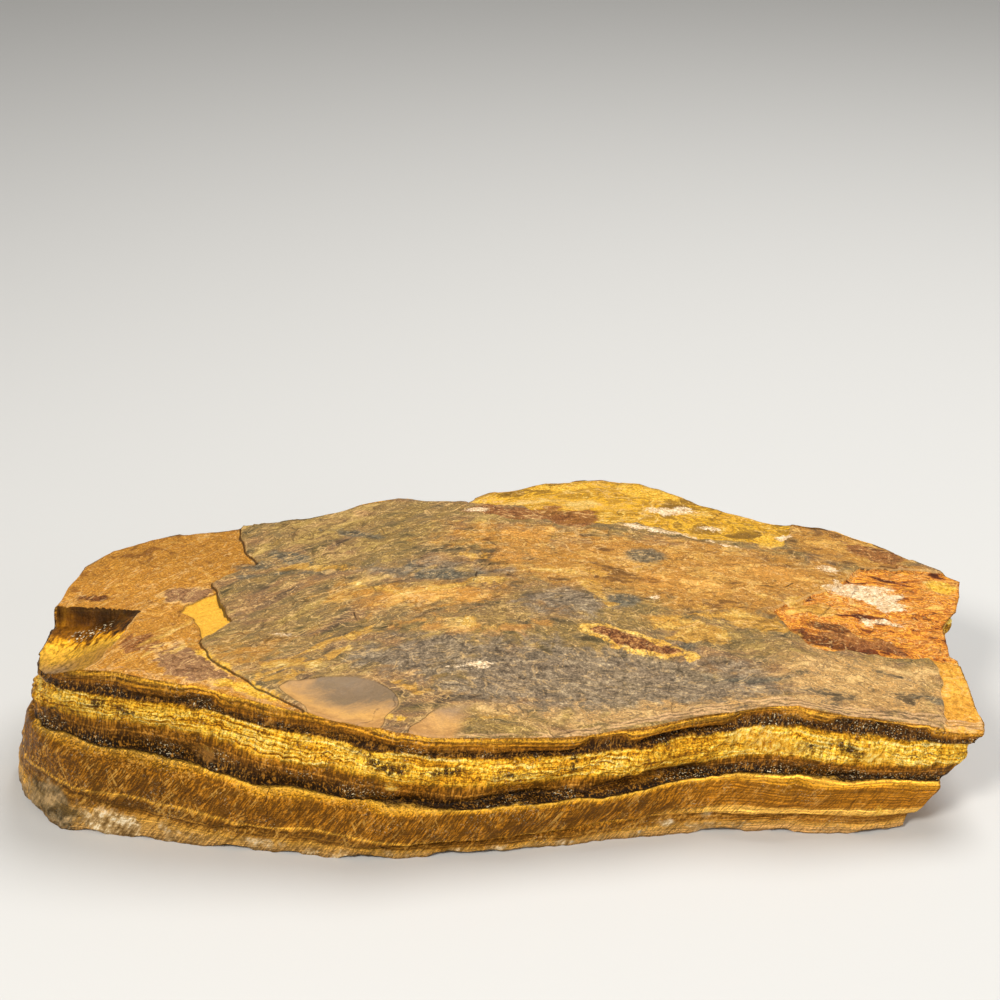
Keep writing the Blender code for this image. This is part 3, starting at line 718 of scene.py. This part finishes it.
# ---------------------------------------------------------------- colours
# Colour scales: each stop is a position and a screen colour.
COLOURS = {
    # The bright stop at 1.02 is the ledge's gold line and also a painted highlight where the ledge's upper
    # face catches the light.
    "beds": ((0, 0xD0963E), (0.018, 0x764810), (0.04, 0xE4A632), (0.062, 0x563208), (0.085, 0xC48622),
        (0.105, 0x74480E), (0.13, 0x8E5A12), (0.165, 0x58340A), (0.24, 0x402608), (0.3, 0x361F06),
        (0.325, 0x7C5010), (0.34, 0xE8AC28), (0.43, 0xF4BA2E), (0.5, 0xDEA424), (0.56, 0xF4BC32),
        (0.63, 0xC89020), (0.7, 0x966214), (0.79, 0x7E4F10), (0.81, 0xB0782E), (0.83, 0x764A12),
        (0.88, 0x56340B), (0.95, 0x201204), (1, 0x2C1905), (1.02, 0xF8BC46), (1.07, 0xD09224),
        (1.14, 0x8A580E), (1.6, 0x82520E), (1.86, 0x8E5C14), (1.91, 0xDAA03C), (1.97, 0xA46E1E),
        (2.02, 0x7A4E12), (2.16, 0x7E5216)),
    "foot": ((0, 0x764C14), (0.16, 0x784E16), (0.22, 0xA27028), (0.3, 0x744A14), (0.42, 0xA6742A),
        (0.55, 0xC49242), (0.7, 0xBA8C4C), (0.86, 0xB0864E), (1, 0x967044)),
    # The gold bed's own colour; its top stops are also a painted sheen, bright cream rows standing for the
    # bed's silky glow.
    "gold_bed_and_sheen": ((0.28, 0x704006), (0.375, 0xAE6E0C), (0.43, 0xD69319), (0.49, 0xEEB02C), (0.55, 0xFCC640),
        (0.62, 0xFFD662), (0.69, 0xFFE690)),
    "shadow": ((0.25, 0x160D04), (0.6, 0x3E260C), (0.9, 0xA07032)),
    "bright": ((0.25, 0xBC7E1C), (0.45, 0xF6B838), (0.6, 0xFFD660), (0.8, 0xFFF0A4)),
    "pearly": ((0.3, 0x70542C), (0.42, 0x9E7E4E), (0.5, 0xBA9864), (0.6, 0xE2C490), (0.7, 0xFCECC8)),
    "glassy": ((0.3, 0x463820), (0.45, 0x746242), (0.6, 0x927A54), (0.72, 0xBA9A6C)),
    "roof": ((0.1, 0x50432C), (0.26, 0x695739), (0.325, 0x876D44), (0.4, 0x75603F), (0.425, 0xB99558),
        (0.445, 0x8B6F44), (0.5, 0x82663F), (0.52, 0xA17E48), (0.565, 0x8D6F40), (0.6, 0x6B5639),
        (0.62, 0xA6844D), (0.66, 0x9A7844), (0.69, 0xCDA967), (0.71, 0x927340), (0.86, 0xC6A260)),
    "soft_warm": ((0.16, 0x7A5021), (0.3, 0x94642B), (0.32, 0xBC8434), (0.4, 0xA5712D), (0.42, 0xD7A04C),
        (0.44, 0xBC8231), (0.5, 0xAF762D), (0.52, 0xCD913A), (0.58, 0xB47A31), (0.6, 0x885E2B),
        (0.62, 0xC68A38), (0.67, 0xE3B563), (0.69, 0xBE8432), (0.84, 0xDDA64F)),
    "soft_dark": ((0.15, 0x3B342B), (0.36, 0x615444), (0.52, 0x827059), (0.66, 0x9B876B), (0.82, 0xC1AA80)),
    "soft_tan": ((0.18, 0x5C4C34), (0.31, 0x866E4C), (0.33, 0xCEA062), (0.39, 0xAA8654), (0.42, 0x7C684A),
        (0.44, 0xBE9258), (0.5, 0xD8A45E), (0.52, 0xA48050), (0.57, 0xC49658), (0.6, 0xECC27E),
        (0.62, 0xB08650), (0.67, 0x8C724E), (0.69, 0xD6A664), (0.86, 0xE8C07E)),
    "left_bed": ((0.16, 0x966226), (0.28, 0xAA742E), (0.31, 0xCE943E), (0.38, 0xB0782E), (0.44, 0xC88A30),
        (0.46, 0xE4AC52), (0.475, 0xBE822E), (0.55, 0xB47A30), (0.57, 0x9A662A), (0.585, 0xD49638),
        (0.66, 0xC68A36), (0.68, 0xEEBE6C), (0.7, 0xC48A36), (0.86, 0xE2AC54)),
    "back_bed": ((0.22, 0x856020), (0.36, 0xA97C24), (0.375, 0xDCA936), (0.43, 0xD39A1F), (0.45, 0x986F22),
        (0.47, 0xC48F28), (0.52, 0xD7A031), (0.54, 0xE8C46C), (0.555, 0xC08D26), (0.62, 0xAF8026),
        (0.64, 0xE0A728), (0.72, 0xCF9C3B), (0.84, 0xE4BC68)),
    "right_bed": ((0.16, 0x542610), (0.3, 0x82421A), (0.32, 0xD0842C), (0.38, 0xB86822), (0.4, 0x8C4A1E),
        (0.43, 0xDE8E2E), (0.5, 0xEEA438), (0.52, 0xB06226), (0.57, 0xCE7A2A), (0.59, 0xF4C268),
        (0.61, 0xD6862E), (0.68, 0x965426), (0.7, 0xE29634), (0.84, 0xF0BA5C)),
    "smoke": ((0.2, 0x3A382E), (0.5, 0x605A4A), (0.8, 0x8C7E62)),
    "rust": ((0.2, 0x4E2A14), (0.42, 0x784622), (0.56, 0x986032), (0.64, 0x82502A), (0.8, 0xCE9654)),
    "mauve": ((0.2, 0x563A2A), (0.42, 0x825C40), (0.54, 0xA07854), (0.62, 0x886246), (0.8, 0xCC9C68)),
    "umber": ((0.2, 0x401E0C), (0.6, 0x6E3C18), (0.85, 0xA8682E)),
    "orange": ((0.2, 0xB87A34), (0.44, 0xDC9A42), (0.52, 0xC4863A), (0.6, 0xE8A84E), (0.8, 0xEEC070)),
    "gold": ((0.25, 0x986C2C), (0.42, 0xD09A3E), (0.5, 0xB68436), (0.56, 0xE4B85A), (0.62, 0xCE9C42),
        (0.75, 0xF2D88C)),
    "yellow": ((0.2, 0xBE8624), (0.5, 0xE4AC32), (0.8, 0xF2C858)),
    "ochre_pane": ((0.2, 0xDEA032), (0.5, 0xEAAE3A), (0.8, 0xF0BC4C)),
    "ochre_end": ((0.15, 0xA46A22), (0.4, 0xD09030), (0.55, 0xE8A63C), (0.8, 0xF0BE60)),
    "lens_rim": ((0.3, 0xBA8432), (0.5, 0xDEAA48), (0.7, 0xF4CC70)),
    "lens": ((0.25, 0x542C16), (0.5, 0x7E4C28), (0.8, 0xC48C4E)),
    "white": ((0.2, 0xBA9064), (0.4, 0xDEBA8C), (0.6, 0xF0D4AA), (0.8, 0xF8E6C8)),
    "chips": ((0.1, 0xB2824A), (0.3, 0xCE9B58), (0.5, 0xAE8656), (0.72, 0x7E684E)),
    "scoop": ((0.06, 0x301B04), (0.18, 0x623906), (0.3, 0x8E580A), (0.42, 0xD69418), (0.56, 0xE4AC32),
        (0.68, 0xC8942E), (0.8, 0xB0802E), (0.95, 0x926828)),
}
# How each mark's edge frays, how soft it is, how much dust lies along it, and how much of it shows.
MARK_EDGES = {
    "block": (1.5, 0.6, 0.5, 0.85), "shadow": (1.6, 0.5, 0.5, 0.9), "pale": (1.6, 0.5, 0.5, 0.75),
    "quartz": (3.5, 1.2, 0.5, 0.85), "soft_warm": (16.0, 6.0, 0.5, 0.85),
    "soft_dark": (14.0, 4.0, 0.5, 0.9),
    "soft_tan": (10.0, 3.0, 0.5, 0.85), "left_bed": (0.0, 0.1, 0.0, 1.0), "back_bed": (0.0, 0.3, 0.0, 1.0),
    "right_bed": (0.0, 0.15, 0.0, 1.0), "smoke": (2.8, 1.0, 1.2, 0.85), "rust": (5.0, 0.6, 1.2, 0.88),
    "mauve": (5.0, 0.8, 0.8, 0.85), "umber": (2.4, 0.5, 0.5, 0.92), "orange": (7.0, 1.8, 1.6, 0.55),
    "gold": (6.0, 0.9, 0.5, 0.8), "yellow": (3.0, 0.5, 0.5, 0.9), "ochre_pane": (0.0, 0.1, 0.0, 1.0),
    "ochre_end": (0.0, 0.15, 0.0, 1.0), "white": (4.0, 0.6, 1.3, 0.92),
}
DEEPEST_BED = 2.16          # the last bed number of the scale of beds
PLAIN_FIBRE = (1.0, 0.99, 0.8, 1.0)
DULL_FIBRE = (0.62, 0.62, 0.75, 1.0)
MAUVE_TINGE = (1.0, 0.88, 1.08, 1.0)
OLIVE_TINGE = (1.0, 1.02, 0.86, 1.0)
LEFT_TINGE = (0.94, 0.9, 0.8, 1.0)


class Stone(Finish):
    """The banded stone: coordinates in millimetres and the two faces of its finish."""

    def __init__(self):
        super().__init__("banded_stone_finish")
        place = self.output(self.node("TexCoord"), "Object")
        self.place = self.output(self.node("VectorMath", {"operation": "SCALE"},
                                           {0: place, "Scale": 1.0 / MM}))
        apart = self.node("SeparateXYZ", None, {0: self.place})
        self.x, self.y, self.z = (self.output(apart, axis) for axis in range(3))
        self.bed = self.field("bed")
        self.lower = self.bed.between(0.98, 1.02)
        self.leaning = self.x - self.z * (0.15 + 0.5 * self.lower)
        self.grain = self.clouds(self.place, 0.75, 3.0, 0.7)
        self.speck = self.clouds(self.place, 1.7, 3.0, 0.65)
        bend = self.x.least(0.0)
        flow = self.y + bend * bend * 0.0065 + self.x.most(0.0) * 0.13
        self.drawn = self.vector(self.x * 0.55, flow, self.z)
        self.tear = self.clouds(self.vector(self.x * 0.7, flow, self.z), 5.0, 4.0, 0.58, 0.6)

    def mark(self, name):
        """How much a named patch, streak or bed shows at a place."""
        fray, soft, dust, _ = MARK_EDGES[name]
        edge = (self.tear - 0.5) * fray + (self.grain - 0.5) * dust
        return (self.field(name) + edge).between(-soft, soft)

    def stain(self, name, value):
        self.paint(self.mark(name) * MARK_EDGES[name][3], self.ramp(name, value))

    def fibres(self, upright, size, octaves=2.0, roughness=0.6):
        """Noise drawn out along the fibres, more so where upright is small."""
        return self.clouds(self.vector(self.leaning, self.y, self.z * upright), size, octaves, roughness)

    def courses(self, along, packed, octaves, roughness):
        """Noise in thin layers that follow the beds."""
        layered = self.vector(self.x * along, self.y * along, self.bed * packed)
        return self.clouds(layered, 0.8, octaves, roughness)

    def scratches(self, lean, size):
        return self.clouds(self.vector(self.x + self.z * lean, self.y, self.z * 0.1), size, 1.0, 0.5)

    def fibre_face(self):
        """Roughness, sheen and height of the broken sides, whose colour is painted, with a painted sheen in
        the gold bed and a painted highlight on the ledge.
        """
        x, y, z, grain, speck = self.x, self.y, self.z, self.grain, self.speck
        clouds, mark, mix, paint, ramp = self.clouds, self.mark, self.mix, self.paint, self.ramp
        lower = self.lower
        righthand = x.between(38.0, 72.0)
        striped = lower * righthand
        strokes = self.fibres(0.3, 1.2, 3.0, 0.65)
        threads = self.fibres(0.18, 0.5)
        bundles = self.fibres(0.35, 6.0, 4.0, 0.65)
        hackle = self.fibres(0.6, 1.1, 3.0, 0.7)
        chatter = self.fibres(1.3, 0.6)
        rows = self.courses(0.05, 22.0, 3.0, 0.65)
        rails = self.courses(0.03, 34.0, 2.0, 0.5)
        ledges = self.courses(0.07, 60.0, 3.0, 0.6)
        hairs = self.scratches(-0.95, 0.7)
        crossed = self.scratches(0.3, 0.8)
        clump = clouds(self.vector(x, y, z * 2.0), 5.0, 2.0, 0.5)
        wander = clouds(self.place, 22.0, 2.0, 0.5)
        bed = self.bed + (wander - 0.5) * 0.02 + (strokes - 0.5) * 0.018 + (grain - 0.5) * 0.014
        in_gold = bed.within(0.31, 0.35, 0.6, 0.68)
        in_dark = bed.within(0.12, 0.16, 0.30, 0.33) + bed.within(0.80, 0.88, 0.98, 1.0)
        in_cap = bed.between(0.14, 0.1)
        on_rim = bed.within(0.99, 1.02, 1.06, 1.1) * x.between(-95.0, -70.0)
        in_foot = bed.between(2.02, 2.16)

        # The bed scale includes a painted highlight on the ledge's upper face at bed 1.02.
        self.colour = ramp("beds", bed / DEEPEST_BED, DEEPEST_BED)
        paint(bed.between(2.08, 2.18), ramp("foot", bed - 2.0 + (bundles - 0.5) * 0.16))
        paint(righthand * bed.within(1.72, 1.84, 1.96, 2.02), shade(0xD09E46))
        paint(mark("block") * 0.85, shade(0xBA822C))
        # The gold bed's colour with a painted sheen: its brightest rows stand for the silky glow of the
        # fibres.
        paint(in_gold * 0.85, ramp("gold_bed_and_sheen", rows * 0.38 + rails * 0.24 + hackle * 0.24 + threads * 0.08
                                   + clump * 0.06 + righthand * 0.02))

        fibrous = ((strokes.between(0.2, 0.8) - 0.5) * (0.5 + lower * 0.15)
                   + (threads.between(0.15, 0.85) - 0.5) * (0.5 + lower * 0.5) + (bundles - 0.5) * 0.6)
        calm = 1.0 - (striped * 0.8 + in_gold * 0.65 + in_cap * 0.6 + on_rim * 0.6
                      + in_foot * 0.6).least(0.9)
        light = 1.0 + fibrous * calm * (2.3 - lower * 0.4)
        light = light + (rows - 0.5) * (0.3 + striped * 1.2) + (ledges - 0.5) * in_cap * 1.7
        light = light + (rails - 0.5) * (striped * 1.6).most(in_foot * 1.1)
        light = light + (chatter - 0.5) * (1.15 - on_rim * 0.6 - striped * 0.2) + (grain - 0.5) * 0.4
        light = light.most(0.46 + lower * 0.14)
        brighter = (striped * (0.5 + bed.within(1.08, 1.2, 1.6, 1.75) * 0.22)
                    + x.between(-25.0, 5.0) * bed.between(1.94, 2.02) * 0.24)
        darker = (righthand * bed.between(2.0, 2.1) * 0.3
                  + x.between(-74.0, -102.0) * bed.between(2.2, 2.05) * 0.25)
        self.lit(light * (1.0 + brighter - darker))

        parting = bed.line(0.478, 0.012) * self.tear.between(0.36, 0.5)
        pits = (threads * 0.5 + hackle * 0.5 + clump * 0.6).between(0.56, 0.44) * in_gold
        paint((pits * 0.8 + parting).least(1.0) * 0.75, shade(0x683A06))
        warmth = in_dark * (threads * 0.4 + grain * 0.3 + speck * 0.3).between(0.52, 0.7)
        upper_dark = bed.within(0.18, 0.22, 0.26, 0.3) * x.within(-84.0, -60.0, -26.0, -6.0)
        warmth = (warmth + upper_dark * (strokes * 0.5 + bundles * 0.5).between(0.4, 0.62) * 0.8).least(1.0)
        paint(warmth * 0.8, shade(0xA87228))
        silver = (strokes * 0.4 + threads * 0.3 + bundles * 0.3).between(0.6, 0.82)
        paint(silver * (1.0 - in_gold) * (1.0 - in_dark * 0.6) * 0.6, shade(0xD6A458))
        scratched = (hairs.between(0.68, 0.86) + crossed.between(0.76, 0.9)) * bundles.between(0.35, 0.65)
        scratched = scratched * (1.0 - righthand * 0.6)
        paint(scratched.least(1.0) * lower * 0.6, shade(0xD8A454))
        paint(hairs.between(0.34, 0.18) * lower * 0.5, shade(0x4E2E08))
        paint((1.0 - in_gold) * (1.0 - righthand), PLAIN_FIBRE, "MULTIPLY")
        dull = bed.within(0.98, 1.02, 1.08, 1.12) * x.between(-70.0, -100.0)
        paint(dull * 0.75, DULL_FIBRE, "MULTIPLY")

        bent = x + (self.tear - 0.5) * 1.6 - z * 0.06
        cracked = ((bent + 44.0).line(0.0, 0.22) + (bent + 66.5).line(0.0, 0.22)
                   + (bent + 97.0).line(0.0, 0.18)).least(1.0)
        paint(cracked * lower * bed.between(2.05, 1.95) * 0.7, shade(0x3C2208))
        shadow = mark("shadow") * (hackle * 0.6 + grain * 0.4).between(0.66, 0.5)
        paint(shadow * 0.9, ramp("shadow", speck * 0.5 + strokes * 0.5))
        bright = ramp("bright", hackle * 0.6 + strokes * 0.4)
        paint(mark("pale") * 0.75, mix(in_dark, bright, shade(0x94662C)))
        crust = clouds(self.place, 7.0, 3.0, 0.65).between(0.5, 0.75) * bed.between(2.35, 2.6) * 0.6
        paint((mark("quartz") * 0.85 + crust).least(0.85), mix(
            x.between(-117.0, -123.0), ramp("pearly", clump * 0.3 + strokes * 0.45 + speck * 0.25),
            ramp("glassy", clump * 0.6 + strokes * 0.4)))
        cluster = (clouds(self.place, 8.0, 2.0).between(0.5, 0.8) * 0.6 + shadow * 0.5
                   + in_dark * righthand * 0.35)
        glint = clouds(self.place, 0.5, 1.0, 0.5).between(0.76, 0.96) * cluster.least(1.0)
        paint(glint * (0.4 + 0.6 * in_dark), shade(0xFFECBE))
        height = strokes * 0.26 + bundles * 0.4 + rows * 0.24 + grain * 0.14 + in_gold * hackle * 0.5
        return 0.36 + 0.25 * threads, 0.2 * (1.0 - in_dark), height

    def weathered_face(self):
        """Roughness and height of the parting face on top and underneath, whose colour is painted, with
        painted shade and highlights along its steps.
        """
        x, y, grain, speck, tear, drawn = self.x, self.y, self.grain, self.speck, self.tear, self.drawn
        clouds, field, mark, paint, stain = self.clouds, self.field, self.mark, self.paint, self.stain
        streak = clouds(drawn, 9.0, 5.0, 0.68, 1.0)
        fine = clouds(drawn, 2.2, 4.0, 0.66, 0.8)
        wide = clouds(drawn, 30.0, 3.0, 0.5, 0.4)
        mottle = clouds(self.place, 4.5, 5.0, 0.72, 1.4)
        hue = clouds(drawn, 14.0, 3.0, 0.6, 1.0)
        drift = clouds(drawn, 10.0, 4.0, 0.46, 1.2) * 0.6 + clouds(drawn, 3.4, 3.0, 0.5, 1.2) * 0.4
        swirl = clouds(self.place, 8.0, 4.0, 0.47, 1.8)
        folds = clouds(self.vector(x * 0.45, y, self.z), 13.0, 4.0, 0.5, 1.0)
        strata = clouds(self.vector(x * 0.24, y + x * 0.13, self.z), 3.6, 4.0, 0.5, 0.8)
        creased = clouds(drawn, 6.0, 3.0, 0.5, 1.2)
        salt = clouds(self.place, 0.55, 2.0, 0.6)
        patchy = mottle * 0.5 + wide * 0.25 + speck * 0.25
        grains = speck * 0.5 + grain * 0.5
        dusty = speck * 0.6 + grain * 0.4
        washed = drift * 0.6 + fine * 0.4
        far = y.between(-12.0, 14.0)
        left = mark("left_bed")

        self.colour = self.ramp("roof", drift)
        paint(hue.between(0.5, 0.75) * 0.8, MAUVE_TINGE, "MULTIPLY")
        paint(hue.between(0.5, 0.28) * 0.8, OLIVE_TINGE, "MULTIPLY")
        stain("soft_warm", drift)
        stain("soft_dark", fine * 0.4 + grain * 0.3 + mottle * 0.3)
        stain("soft_tan", drift)
        stain("left_bed", swirl * 0.6 + patchy * 0.4 - far * 0.02)
        paint(left, LEFT_TINGE, "MULTIPLY")
        stain("back_bed", folds * 0.7 + drift * 0.3)
        stain("right_bed", strata * 0.7 + swirl * 0.3)
        stain("smoke", dusty)
        stain("rust", grains * 0.7 + fine * 0.3)
        stain("mauve", grains * 0.4 + mottle * 0.6)
        halo = (field("mauve") + (tear - 0.5) * 5.0).line(-0.2, 0.9) * swirl.between(0.3, 0.6)
        paint(halo * left * 0.8, shade(0xE4B268))
        stain("umber", grains)
        stain("orange", washed)
        stain("gold", washed)
        stain("yellow", grains)
        stain("ochre_pane", grains * 0.7 + wide * 0.3)
        stain("ochre_end", patchy)
        lens = field("red_lens") + (tear - 0.5) * 3.4 + (grain - 0.5) * 0.4
        lens_rim = self.ramp("lens_rim", drift * 0.5 + grains * 0.5)
        paint(lens.between(-0.6, 0.2) * speck.between(0.15, 0.4), lens_rim)
        paint((lens + (speck - 0.5) * 1.2).between(1.6, 2.3), self.ramp("lens", grains))
        stain("white", dusty)

        chips, front_rim = field("chips"), field("front_rim")
        fading = x.between(-20.0, -9.0, 0.15, 6.0) + y.between(-56.0, -50.0, 0.0, 2.2)
        in_chip = chips.between(-0.15, fading)
        faded = front_rim + chips * 0.5 + (wide - 0.5) * 8.0 + (streak - 0.5) * 8.0 + (fine - 0.5) * 4.0
        paint(in_chip * 0.9, self.ramp("chips", faded / 24.0))
        rim = front_rim + (tear - 0.5) * 2.4 + (wide - 0.5) * 3.0
        laminae = (rim.line(1.0, 0.9) + rim.line(2.8, 0.8) * x.between(5.0, 30.0)
                   + rim.line(4.6, 0.7) * x.between(40.0, 70.0)).least(1.0)
        laminae = laminae * streak.between(0.25, 0.5) * x.between(-50.0, 30.0, 0.4, 0.9) * (1.0 - in_chip)
        paint(laminae * 0.9, shade(0xD2A674))
        between = rim.line(1.95, 0.6) * x.between(-5.0, 20.0) + rim.line(3.75, 0.6) * x.between(30.0, 60.0)
        paint(between * (1.0 - in_chip) * 0.6, shade(0x70583E))
        ochre, white = mark("ochre_pane"), mark("white")
        bare = 1.0 - (in_chip + ochre + white + mark("soft_dark") * 0.45).least(1.0)
        paint(creased.line(0.5, 0.06) * patchy.between(0.38, 0.58) * bare * 0.6, shade(0xE2B674))
        dark_veins = creased.line(0.3, 0.05) * patchy.between(0.6, 0.44) * bare * (1.0 - left * 0.7)
        paint(dark_veins * 0.4, shade(0x48341E))
        paint(salt.between(0.8, 0.95) * fine.between(0.45, 0.7) * bare * 0.5, shade(0xF0D09C))

        light = 0.29 + 0.5 * grain + 0.36 * fine + 0.5 * salt
        soft_left = x.between(-20.0, -50.0) * (1.0 - left) * 0.35
        calm = (in_chip * 0.5 + ochre * 0.5 + soft_left).least(0.8)
        self.lit((light.least(1.8) + (1.0 - light) * calm) * (1.0 - left * far * 0.16))
        left_edge, right_edge = field("left_bed"), field("right_bed")
        # Painted shade: dark lines on the low side of the steps at the edges of the flaked sheets, the
        # ochre pane, the chips and the terraces, where their shadow falls; the crack lines with them are
        # dark cracks.
        steps = field("terrace").line(0.3, 0.6) * (1.0 - left) * tear.between(0.4, 0.65) * 0.5
        edges = (left_edge.line(0.35, 0.5) + right_edge.line(0.5, 0.5) * 0.3
                 + field("ochre_pane").line(0.0, 0.4) * 0.6 + chips.line(0.2, 0.4) * 0.1
                 + field("crack").line(0.0, 0.4) + steps).least(1.0)
        paint(edges * 0.85, shade(0x2E1E0E))
        # Painted highlights: light lines along the raised rims of the left sheet, the chips, the right
        # sheet and the broken corner, where the step edges catch the light.
        rim_highlights = (left_edge.line(-0.6, 0.5) * 0.25 + chips.line(-0.3, 0.5) * x.between(-12.0, -18.0) * 0.35
                + right_edge.line(-0.4, 0.5) * y.between(-14.0, -8.0) * 0.5
                + field("corner").line(-0.7, 0.6) * y.between(-25.0, -28.0) * 0.6)
        paint(rim_highlights * tear.between(0.2, 0.6), shade(0xCEA468))
        height = ((streak * 0.4 + fine * 0.26 + mottle * 0.3 + grain * 0.16 + speck * 0.16)
                  * (1.0 - in_chip * 0.85))
        return 0.66 + 0.2 * (grain - 0.5) - in_chip * 0.24, height

    def broken_corner(self):
        """The glassy scoop at the left end, whose colour is painted, with a painted shadow under the step
        at its back.
        """
        x, y = self.x, self.y
        drawn = self.vector(x - y * 0.14, y * 0.4, self.z * 0.4)
        glassy = self.clouds(drawn, 4.0, 3.0, 0.55, 0.8)
        threads = self.clouds(drawn, 0.9, 3.0, 0.6)
        broad = self.clouds(self.place, 9.0, 2.0, 0.5, 1.0)
        down = y.between(-24.0, -56.0)
        loose = 0.35 + y.between(-25.0, -34.0) * 0.65
        righter = x.between(-126.0, -110.0) * (0.2 - down * 0.14)
        self.colour = self.ramp("scoop", down * 0.62 + 0.11 - righter + (glassy - 0.5) * loose * 0.3
                                + broad * 0.22 + (threads - 0.5) * loose * 0.2)
        self.paint(y.between(-44.0, -54.0) * x.between(-118.0, -126.0) * 0.8, shade(0x8A6E4E))
        played = (threads.between(0.2, 0.8) - 0.5) * 0.8 + (glassy - 0.5) * 0.8 + (self.grain - 0.5) * 0.4
        self.lit(0.98 + played * loose)
        sparkle = self.clouds(self.place, 0.9, 1.0, 0.5).between(0.72, 0.86) * y.line(-29.5, 5.0)
        self.paint(sparkle * x.within(-128.0, -124.0, -116.0, -112.0), shade(0xFFEEC4))
        # Painted shadow: a near-black band just under the step at the back of the scoop, where the roof's
        # edge shades it.
        below = y + x * 0.176 + 43.37
        self.paint(below.between(-1.4, 0.2) * (0.6 + 0.3 * self.grain), shade(0x2C1905))

    def surface(self, colour, roughness, metallic, height):
        return self.output(self.node("BsdfPrincipled", None, {
            "Base Color": colour, "Roughness": roughness, "Metallic": metallic, "Normal": self.bump(height),
            "Specular IOR Level": 0.12}))

    def finished(self):
        fibre_rough, fibre_sheen, fibre_height = self.fibre_face()
        fibre_colour = self.colour
        self.broken_corner()
        weathered = self.field("weathered").between(0.45, 0.55)
        corner = self.field("corner").between(-0.95, -0.6) * weathered
        fibre_colour = self.mix(corner * 0.95, fibre_colour, self.colour)
        top_rough, top_height = self.weathered_face()
        top_colour = self.colour
        top = weathered * (1.0 - corner)
        whole = self.surface(self.mix(top, fibre_colour, top_colour),
                             fibre_rough + (top_rough - fibre_rough) * top,
                             fibre_sheen * (1.0 - top), fibre_height + (top_height - fibre_height) * top)
        # The roof by itself is the same as the whole there, and much quicker to work out.
        roof = self.surface(top_colour, top_rough, 0.0, top_height)
        surface = self.node("MixShader", None, {0: top, 1: whole, 2: roof})
        self.node("OutputMaterial", None, {0: self.output(surface)})
        return self.material


# ---------------------------------------------------------------- setting
CAMERA_PLACE = (0.0, -0.5694, 0.345)
CAMERA_DOWN = 25.35
CAMERA_LENS = 75.24


def placed(name, data):
    """A new object in the scene."""
    made = bpy.data.objects.new(name, data)
    bpy.context.scene.collection.objects.link(made)
    return made


def add_camera():
    camera = bpy.data.cameras.new("camera")
    camera.lens = CAMERA_LENS
    holder = placed("camera", camera)
    holder.location = CAMERA_PLACE
    holder.rotation_euler = (math.radians(90.0 - CAMERA_DOWN), 0.0, 0.0)
    bpy.context.scene.camera = holder


def add_light(name, place, aim, size, power, colour=(1.0, 1.0, 1.0)):
    lamp = bpy.data.lights.new(name, "AREA")
    lamp.shape = "DISK"
    lamp.size = size
    lamp.energy = power
    lamp.color = colour
    holder = placed(name, lamp)
    holder.location = place
    holder.rotation_euler = (Vector(aim) - Vector(place)).to_track_quat("-Z", "Y").to_euler()


def add_studio():
    world = bpy.data.worlds.new("studio")
    world.use_nodes = True
    background = world.node_tree.nodes["Background"].inputs
    background["Color"].default_value = (0.95, 0.93, 0.9, 1.0)
    background["Strength"].default_value = 0.3
    bpy.context.scene.world = world
    bpy.context.scene.view_settings.view_transform = "Standard"
    add_light("key_light", (-0.45, -0.8, 0.85), (0.0, 0.0, 0.02), 0.35, 12.0, (1.0, 0.97, 0.92))
    add_light("top_light", (0.3, 0.3, 1.0), (0.0, 0.0, 0.02), 0.6, 9.0)
    add_light("fill_light", (0.8, -0.6, 0.4), (0.0, 0.0, 0.02), 0.5, 2.5)


def add_floor():
    plane = bmesh.new()
    bmesh.ops.create_grid(plane, x_segments=1, y_segments=1, size=3.0)
    mesh = bpy.data.meshes.new("floor")
    plane.to_mesh(mesh)
    plane.free()
    finish = bpy.data.materials.new("floor_finish")
    finish.use_nodes = True
    surface = finish.node_tree.nodes["Principled BSDF"]
    surface.inputs["Base Color"].default_value = shade(0xC8C7C4)
    surface.inputs["Roughness"].default_value = 0.8
    mesh.materials.append(finish)
    floor = placed("floor", mesh)


add_camera()
add_studio()
add_floor()

slab = placed("tigers_eye_stone", build_stone())
slab.data.materials.append(Stone().finished())
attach(slab, "root")
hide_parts(NODE)
